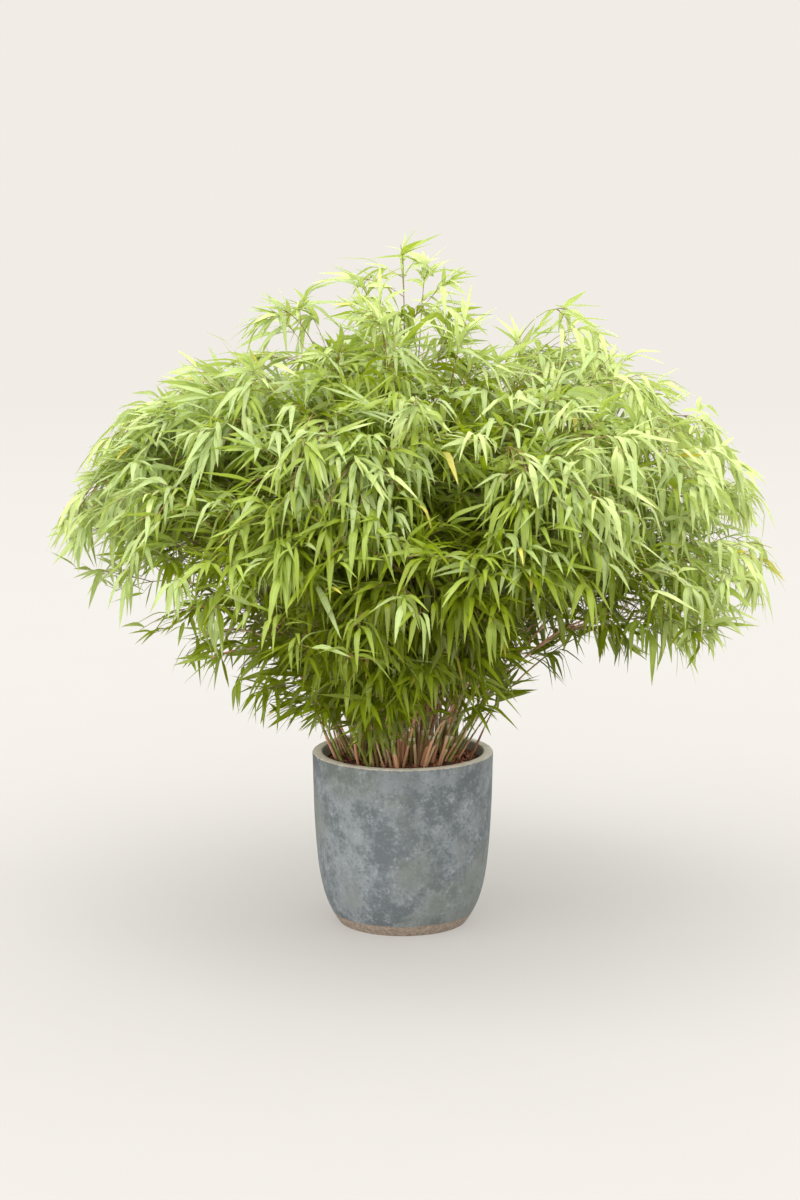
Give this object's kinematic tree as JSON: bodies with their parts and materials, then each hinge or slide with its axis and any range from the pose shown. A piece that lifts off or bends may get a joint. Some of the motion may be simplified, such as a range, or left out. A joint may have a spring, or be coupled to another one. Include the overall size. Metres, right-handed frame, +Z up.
{
  "type": "potted bamboo",
  "caption": "Clump-forming umbrella bamboo with arching canes and drooping narrow leaves, growing in a round straight-flared patio pot of grey clay.",
  "frame": {"origin": "centre of the pot's flat underside, on the ground", "axes": "+Z up along the pot's axis, -Y towards the side the plant is seen from, +X to the viewer's right"},
  "size_m": [1.6166, 1.6009, 1.5811],
  "materials": {
    "pot": "matt, cloudy blue-grey with a bare clay foot",
    "mulch": "rough bark mulch",
    "cane": "smooth cane with papery sheaths",
    "foliage": "thin satin leaves"
  },
  "bodies": {
    "root": {"cane_canopy_1": "cane", "cane_canopy_2": "cane", "cane_canopy_3": "cane", "cane_canopy_4": "cane", "cane_canopy_5": "cane", "cane_canopy_6": "cane", "cane_canopy_7": "cane", "cane_canopy_8": "cane", "cane_core_1": "cane", "cane_core_2": "cane", "cane_core_3": "cane", "cane_core_4": "cane", "cane_crest_1": "cane", "cane_heart_1": "cane", "cane_heart_2": "cane", "cane_heart_3": "cane", "cane_shoulder_1": "cane", "cane_shoulder_2": "cane", "cane_shoulder_3": "cane", "cane_shoulder_4": "cane", "cane_shoulder_5": "cane", "cane_shoulder_6": "cane", "cane_skirt_1": "cane", "cane_skirt_2": "cane", "cane_skirt_3": "cane", "cane_skirt_4": "cane", "cane_skirt_5": "cane", "cane_top_1": "cane", "cane_top_2": "cane", "cane_top_3": "cane", "cane_top_4": "cane", "foliage_canopy_1": "foliage", "foliage_canopy_2": "foliage", "foliage_canopy_3": "foliage", "foliage_canopy_4": "foliage", "foliage_canopy_5": "foliage", "foliage_canopy_6": "foliage", "foliage_canopy_7": "foliage", "foliage_canopy_8": "foliage", "foliage_crest_1": "foliage", "foliage_heart_1": "foliage", "foliage_heart_2": "foliage", "foliage_heart_3": "foliage", "foliage_shoulder_1": "foliage", "foliage_shoulder_2": "foliage", "foliage_shoulder_3": "foliage", "foliage_shoulder_4": "foliage", "foliage_shoulder_5": "foliage", "foliage_shoulder_6": "foliage", "foliage_skirt_1": "foliage", "foliage_skirt_2": "foliage", "foliage_skirt_3": "foliage", "foliage_skirt_4": "foliage", "foliage_skirt_5": "foliage", "foliage_top_1": "foliage", "foliage_top_2": "foliage", "foliage_top_3": "foliage", "foliage_top_4": "foliage", "mulch": "mulch", "pot": "pot"}
  },
  "joints": []
}
